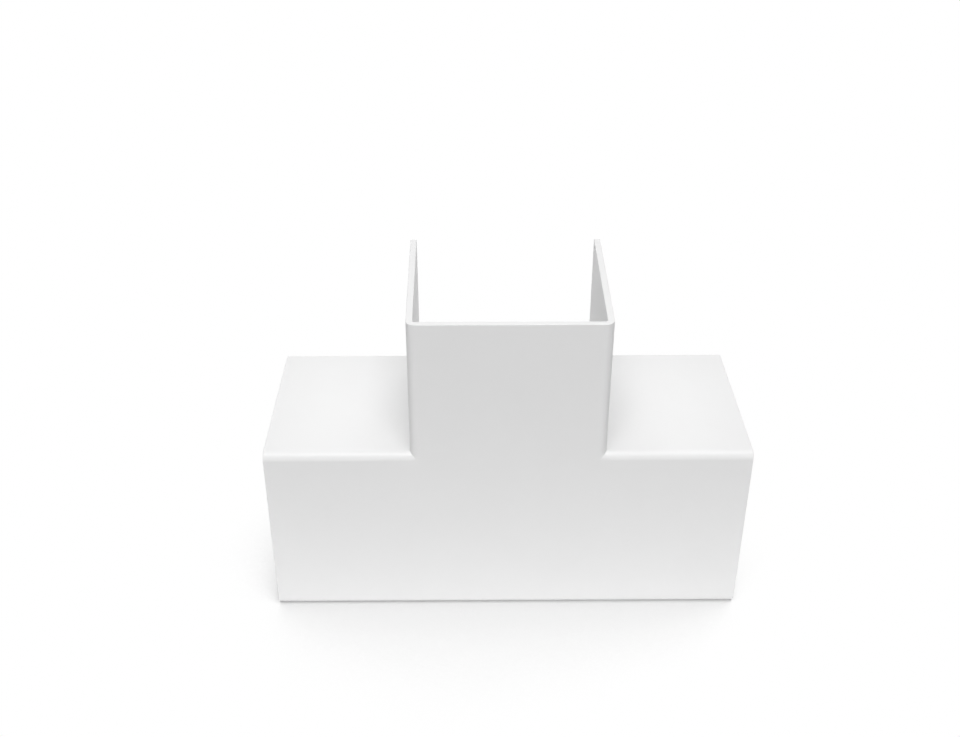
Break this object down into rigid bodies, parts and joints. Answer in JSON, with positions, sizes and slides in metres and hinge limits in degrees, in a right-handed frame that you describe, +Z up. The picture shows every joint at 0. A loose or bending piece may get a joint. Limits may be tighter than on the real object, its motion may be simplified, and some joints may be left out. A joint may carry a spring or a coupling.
{
  "type": "trunking tee fitting",
  "caption": "T-shaped cover for a junction in square cable trunking, one thin moulding in rigid white plastic, open at the back and at the limb ends.",
  "frame": {"origin": "middle of the length and of the depth, at the height of the rear bottom edge, which is the lowest", "axes": "+X along the straight run, +Y from the front plate back to the wall, +Z up the branch"},
  "size_m": [0.135, 0.0522, 0.0954],
  "materials": {
    "white_rigid_pvc": "satin, as moulded"
  },
  "bodies": {
    "root": {"tee_cover": "white_rigid_pvc"}
  },
  "joints": []
}
